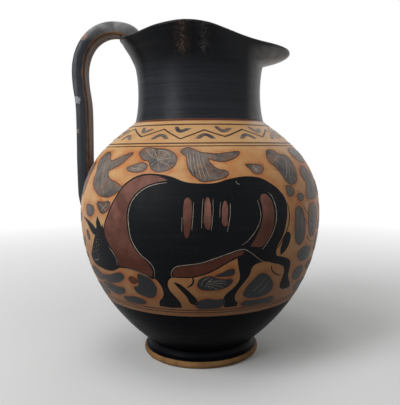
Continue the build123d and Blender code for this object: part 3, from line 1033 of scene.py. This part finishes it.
def wall_reach(height):
    """How far out the pinched wall stands at a height, all the way round."""
    climbed = np.clip((height - mouth_base_height) / level_span, 0, 1)
    side = smooth_through(side_level_shares, side_open_shares, climbed)
    spout = smooth_through(spout_level_shares, spout_open_shares, climbed)
    return between(mouth_base_radius, lip_reach, between(side, spout, spout_share))


height = round_height
for _ in range(6):  # The drop of the rim and its reach depend on each other, and settle in turns.
    forward = wall_reach(height) * np.cos(turn)
    drop = spout_drop * smooth_through(lip_radius * rim_run_shares, rim_drop_shares, forward)
    height = between(mouth_base_height, lip_height - drop - lip_round, climb)
inner_share = np.clip(depth / lip_wall, 0, 1)
reach = wall_reach(height - lip_wall * inner_share) - depth
height = height + np.maximum(round_height - lip_foot, 0)
points[soft] = np.stack([reach * np.cos(turn), reach * np.sin(turn), height], 1)
collar.data.vertices.foreach_set("co", points.ravel())
closeness = np.zeros(len(points))
closeness[soft] = np.clip(1 - (lip_height - round_height) / worn_depth, 0, 1)
keep(collar, "crest", closeness)
collar.data.update()
select_only(collar)
bpy.ops.object.mode_set(mode="EDIT")
bpy.ops.mesh.select_mode(type="VERT")
bpy.ops.mesh.select_all(action="DESELECT")
bpy.ops.object.mode_set(mode="OBJECT")
at_joint = np.abs(points[:, 2] - mouth_base_height) < joint_band
collar.data.vertices.foreach_set("select", at_joint)
bpy.ops.object.mode_set(mode="EDIT")
bpy.ops.mesh.vertices_smooth(factor=0.5, repeat=14)
bpy.ops.object.mode_set(mode="OBJECT")
unroll(collar)

collar_finish, shader, place = new_finish("collar_slip", 0.36, 0.09)
axes = axes_of(place)
run = kept(place, "run")
# Painted sheen: the neck below the mouth is lightened to a cool grey in level streaks.
streaks = patches(place, 0.0020, 0.35, 0.65, 0.5, 0.9, (0.02, 0.02, 1))
painted_neck_sheen = times(level(axes["Z"], 0.228, 0.212, 0, 0.7), streaks)
colour = coats(slip_colour(place), (painted_neck_sheen, tone(52, 55, 61)))
grain = clouds(place, 0.0009, detail=2)
front = level(axes["Y"], -0.03, -0.045)
for middle, width, wear_and_highlight, strength in (
    (-0.0115, 0.0075, tone(98, 80, 70), 0.28),
    (0.0035, 0.006, tone(90, 88, 88), 0.24),
):
    offset = sum_of("ABSOLUTE", sum_of("SUBTRACT", axes["X"], middle))
    strip = times(level(offset, width, 0), front)
    strip = times(strip, level(axes["Z"], 0.221, 0.229))
    tint = times(strip, patches(place, 0.003, 0.4, 0.65, 0, strength))
    pits = sum_of("ADD", grain, times(strip, strength))
    colour = coats(colour, (tint, wear_and_highlight), (level(pits, 0.76, 0.88, 0, 0.85), wear_and_highlight))
chipped = level(sum_of("ADD", grain, times(kept(place, "crest"), 0.2)), 0.78, 0.86)
# Pale grey under the spout: partly dust, partly a painted reflection.
underside = times(level(axes["X"], 0.034, 0.056), level(axes["Z"], 0.237, 0.229, 0.05, 1))
underside = times(underside, level(run, 0.475, 0.465))
dust_and_painted_reflection = times(underside, patches(place, 0.006, 0.3, 0.65, 0.7, 1, detail=7))
ragged = sum_of("ADD", run, patches(place, 0.012, 0, 1, -0.02, 0.02))
undipped = level(ragged, 0.665, 0.668)
reserve = level(axes["Z"], 0.1827, 0.1821)
colour = coats(
    colour,
    (chipped, tone(124, 118, 114)),
    (dust_and_painted_reflection, tone(186, 183, 181)),
    (undipped, clay_colour(place)),
    (reserve, tone(84, 40, 26)),
)
dress(shader, colour, patches(place, 0.016, 0.3, 0.7, 0.3, 0.42))
relief(shader, (turned(place, 0.0013), 0.00014), (clouds(place, 0.0022, detail=6), 0.00006))
fix_on(collar, collar_finish, "black_slip", "neck", "mouth")

# Handle
# One flat strap pulled from a lump of clay, pressed on inside the back of the lip, arched over
# and stuck to the belly. Black slip covers its outside and most of its edges, but not its
# inner face, which is bare clay.
handle_width = 0.021
handle_thickness = 0.0099
foot_share, foot_flare = 0.2, 0.3
tip_share, tip_flare = 0.86, 0.25
thin_share, tip_thinning = 0.84, 0.6
hug_start, hug_span, hug_rise = 0.24, 0.16, 0.0022
core_skin = Vector((0.0006, 0))
cut_gap = 1e-5
strap_soft_angle = radians(50)
strap_knots = [
    ((-0.0862, 0.104), (-0.0857, 0.100), (-0.0876, 0.112)),
    ((-0.0907, 0.128), (-0.0905, 0.120), (-0.0907, 0.147)),
    ((-0.0899, 0.190), (-0.0898, 0.169), (-0.0900, 0.204)),
    ((-0.0922, 0.2195), (-0.0922, 0.206), (-0.0922, 0.2390)),
    ((-0.0650, 0.2530), (-0.0808, 0.2530), (-0.0565, 0.2530)),
    ((-0.0476, 0.2435), (-0.0480, 0.2502), (-0.0473, 0.2395)),
    ((-0.0492, 0.2345), (-0.0480, 0.2370), (-0.0500, 0.2330)),
]
strap_steps = 40
section = new_curve("strap_section")
spline = section.data.splines.new("BEZIER")
thick, wide = handle_thickness / 2, handle_width / 2
ring_shares = [
    (-0.6, 0.99), (0, 0.97), (0.6, 0.99), (0.9, 0.88), (0.99, 0.5), (0.99, -0.6), (0.9, -0.92),
    (0.6, -1), (0, -1), (-0.6, -1), (-0.9, -0.92), (-0.99, -0.6), (-0.99, 0.5), (-0.9, 0.88),
]
spline.bezier_points.add(len(ring_shares) - 1)
spline.use_cyclic_u = True
spline.resolution_u = 8
for knot, (along, across) in zip(spline.bezier_points, ring_shares):
    knot.co = (across * thick, along * wide, 0)
    knot.handle_left_type = knot.handle_right_type = "AUTO"
section.rotation_euler.z = pi / 2
select_only(section)
bpy.ops.object.transform_apply(rotation=True)
strap = new_curve("handle")
add_line(strap, strap_steps, strap_knots)
strap.data.bevel_mode = "OBJECT"
strap.data.bevel_object = section
strap.data.use_fill_caps = True
bpy.ops.object.convert(target="MESH")
bpy.data.objects.remove(section)
strap = bpy.context.object

middle_line = []
for (start, _, leave), (end, reach, _) in zip(strap_knots, strap_knots[1:]):
    span = [Vector(point) for point in (start, leave, reach, end)]
    middle_line += [at(span, step / strap_steps) for step in range(strap_steps)]
middle_line = np.array(middle_line + [Vector(strap_knots[-1][0])])
ahead = np.gradient(middle_line, axis=0)
ahead /= np.linalg.norm(ahead, axis=1)[:, None]
points = points_of(strap)
offsets = points[:, None, ::2] - middle_line[None]
near = np.linalg.norm(offsets, axis=2).argmin(1)
offsets = offsets[np.arange(len(points)), near]
across = offsets[:, 1] * ahead[near, 0] - offsets[:, 0] * ahead[near, 1]
along = near / (len(middle_line) - 1)
near_foot = np.clip((foot_share - along) / foot_share, 0, 1)
near_tip = np.clip((along - tip_share) / (1 - tip_share), 0, 1)
flare = 1 + foot_flare * near_foot**2 + tip_flare * near_tip**2
wobble = 0.012 * np.sin(along * 23) + 0.008 * np.sin(along * 61 + 1)
points[:, 1] *= flare * (1 + wobble)
thinning = tip_thinning * np.clip((along - thin_share) / (1 - thin_share), 0, 1) ** 2
points[:, ::2] -= offsets * thinning[:, None]
hug = np.clip((hug_start - along) / hug_span, 0, 1)
sideways = points[:, 1]
points[:, 0] += hug * (sideways**2 / (2 * belly_radius) + hug_rise * (sideways / wide) ** 4)
strap.data.vertices.foreach_set("co", points.ravel())
keep(strap, "facing", across * 1000)
select_only(strap)
weld()

low_core = [point - core_skin for point in low_curve]
high_core = [point - core_skin for point in high_curve]
core = throw(
    "core",
    [
        (straight((0, bowl_height), at(low_core, seam_out)), 1),
        (piece_of(low_core, seam_out, 1), 60),
        (piece_of(high_core, 0, rise_out), 20),
        (straight(at(high_core, rise_out), (0, shoulder_height)), 1),
    ],
    steps=160,
)
select_only(strap)
bpy.ops.object.modifier_add(type="BOOLEAN")
cut = strap.modifiers[0]
cut.operation = "DIFFERENCE"
cut.object = core
cut.solver = "EXACT"
bpy.ops.object.modifier_apply(modifier=cut.name)
bpy.data.objects.remove(core)
weld(cut_gap, outward=False)
bpy.ops.object.shade_smooth_by_angle(angle=strap_soft_angle)

strap_finish, shader, place = new_finish("strap_slip", 0.4, 0.26)
wander = patches(place, 0.008, 0.3, 0.7, -0.4, 0.4)
bare = level(sum_of("ADD", kept(place, "facing"), wander), -2.95, -3.25)
stained = patches(place, 0.012, 0.36, 0.66, detail=7)
clay = coats(tone(116, 88, 70), (stained, tone(84, 62, 52)))
clouded = patches(place, 0.02, 0.35, 0.7)
pulled = patches(place, 0.0016, 0.5, 0.8, 0, 0.5, (1, 1, 0.06))
slip = coats(tone(22, 27, 33), (clouded, tone(38, 43, 48)), (pulled, tone(72, 66, 64)))
# A painted highlight along the top of the arch, with a little wear in it, and painted light on the bare
# inner face near the top that lifts it out of its shadow.
wear_and_highlight = patches(place, 0.006, 0.35, 0.65, 0.35, 0.9, detail=7)
wear_and_highlight = times(level(axes_of(place)["Z"], 0.243, 0.2545), wear_and_highlight)
wear_and_highlight_tone = coats(tone(142, 140, 139), (bare, tone(148, 112, 84)))
colour = coats(slip, (bare, clay), (wear_and_highlight, wear_and_highlight_tone))
crumbs = patches(place, 0.0016, 0.3, 0.7, -0.0016, 0.0016, detail=6)
for spot, size, shade in (
    ((-0.0934, -0.0102, 0.1995), 0.0030, tone(136, 138, 142)),
    ((-0.0868, -0.0094, 0.2470), 0.0030, tone(140, 104, 82)),
    ((-0.0935, -0.0098, 0.1760), 0.0014, tone(128, 112, 100)),
    ((-0.0925, 0.0102, 0.2100), 0.0022, tone(140, 104, 82)),
):
    edge = sum_of("ADD", distance(place, spot), crumbs)
    colour = coats(colour, (level(edge, size, 0.75 * size), shade))
dress(shader, colour, level(bare, 0, 1, 0.36, 0.62))
pull_lines = clouds(place, 0.0022, (1, 1, 0.08), 3)
relief(shader, (pull_lines, 0.00025), (clouds(place, 0.0018, detail=5), 0.0001))
fix_on(strap, strap_finish, "handle_slip", "handle")

# Luting
# Wet clay smeared into the joints: a wedge under the strap where it leaves the belly, a pad
# where it meets the back of the lip, and thin rings between foot, belly and neck.
luting_finish, shader, place = new_finish("smeared_luting", 0.55)
smears = patches(place, 0.006, 0.4, 0.6, detail=6)
dress(shader, coats(tone(32, 31, 33), (smears, tone(92, 76, 66))))
relief(shader, (clouds(place, 0.0014, detail=5), 0.00012))
for name, middle, sizes, lean in (
    ("handle_foot_luting", (-0.0868, 0, 0.1375), (0.0032, 0.0102, 0.0058), 0.35),
    ("handle_top_luting", (-0.0562, 0, 0.2464), (0.0050, 0.0096, 0.0044), 0.4),
):
    bpy.ops.object.select_all(action="DESELECT")
    bpy.ops.mesh.primitive_uv_sphere_add(segments=64, ring_count=32, radius=1)
    pad = bpy.context.object
    pad.name = f"{name}_pad"
    bpy.ops.object.mode_set(mode="EDIT")
    bpy.ops.mesh.select_all(action="SELECT")
    bpy.ops.transform.resize(value=sizes)
    bpy.ops.transform.rotate(value=lean, orient_axis="Y", center_override=(0, 0, 0))
    bpy.ops.transform.translate(value=middle)
    bpy.ops.object.mode_set(mode="OBJECT")
    bpy.ops.object.shade_smooth()
    fix_on(pad, luting_finish, "luting_clay", name)
joint_finish, shader, place = new_finish("joint_clay", 0.6)
dress(shader, clay_colour(place))
relief(shader, (clouds(place, 0.0014, detail=5), 0.00012))
for name in ("foot_luting", "neck_luting"):
    put_on(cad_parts[name], joint_finish)

# Floor and light
# A pale floor that runs out into a white surround, with one large soft lamp high on the left,
# as from a window, and weaker ones overhead, on the right and behind.


def seen_or_mirrored(tree):
    """One for a ray from the eye, from a mirror or through glass, and nought for other light."""
    paths = tree.nodes.new("ShaderNodeLightPath").outputs
    seen = sum_of("MAXIMUM", paths["Is Camera Ray"], paths["Is Glossy Ray"])
    return sum_of("MAXIMUM", seen, paths["Is Transmission Ray"])


bpy.ops.object.select_all(action="DESELECT")
bpy.ops.mesh.primitive_plane_add(size=8)
floor = bpy.context.object
floor.name = "floor"
floor_finish, shader, place = new_finish("pale_floor", 0.9, 0.2)
tree = floor_finish.node_tree
seen = seen_or_mirrored(tree)
dress(shader, coats(tone(120, 118, 115), (seen, tone(226, 225, 222))))
far = times(level(distance(place, (0, 0, 0)), 0.16, 0.75), seen)
paper = tree.nodes.new("ShaderNodeEmission").outputs[0]
blend = new_node("MixShader", far, shader.outputs[0], paper)
feed([tree.nodes["Material Output"].inputs["Surface"]], [blend.outputs[0]])
put_on(floor, floor_finish)

surround = bpy.data.worlds.new("surround")
surround.use_nodes = True
bpy.context.scene.world = surround
glow = surround.node_tree.nodes["Background"].inputs
brightness = level(seen_or_mirrored(surround.node_tree), 0, 1, 0.24, 1)
feed((glow["Color"], glow["Strength"]), ((1, 1, 1, 1), brightness))

daylight = (0.94, 0.97, 1)
jug_middle = Vector((0, 0, 0.13))
for name, spot, wide, tall, power in (
    ("window_lamp", (-0.84, -0.7, 0.74), 0.4, 1.1, 12.5),
    ("ceiling_lamp", (-0.15, -0.22, 1.2), 0.5, 0.5, 2.6),
    ("fill_lamp", (0.9, -0.6, 0.6), 0.8, 0.8, 1),
    ("back_lamp", (0.4, 0.9, 0.9), 0.8, 0.8, 2.4),
):
    bpy.ops.object.select_all(action="DESELECT")
    bpy.ops.object.light_add(type="AREA", location=spot)
    lamp = bpy.context.object
    lamp.name = name
    lamp.data.shape = "RECTANGLE"
    lamp.data.size = wide
    lamp.data.size_y = tall
    lamp.data.energy = power
    lamp.data.color = daylight
    aim = jug_middle - Vector(spot)
    lamp.rotation_euler = aim.to_track_quat("-Z", "Y").to_euler()
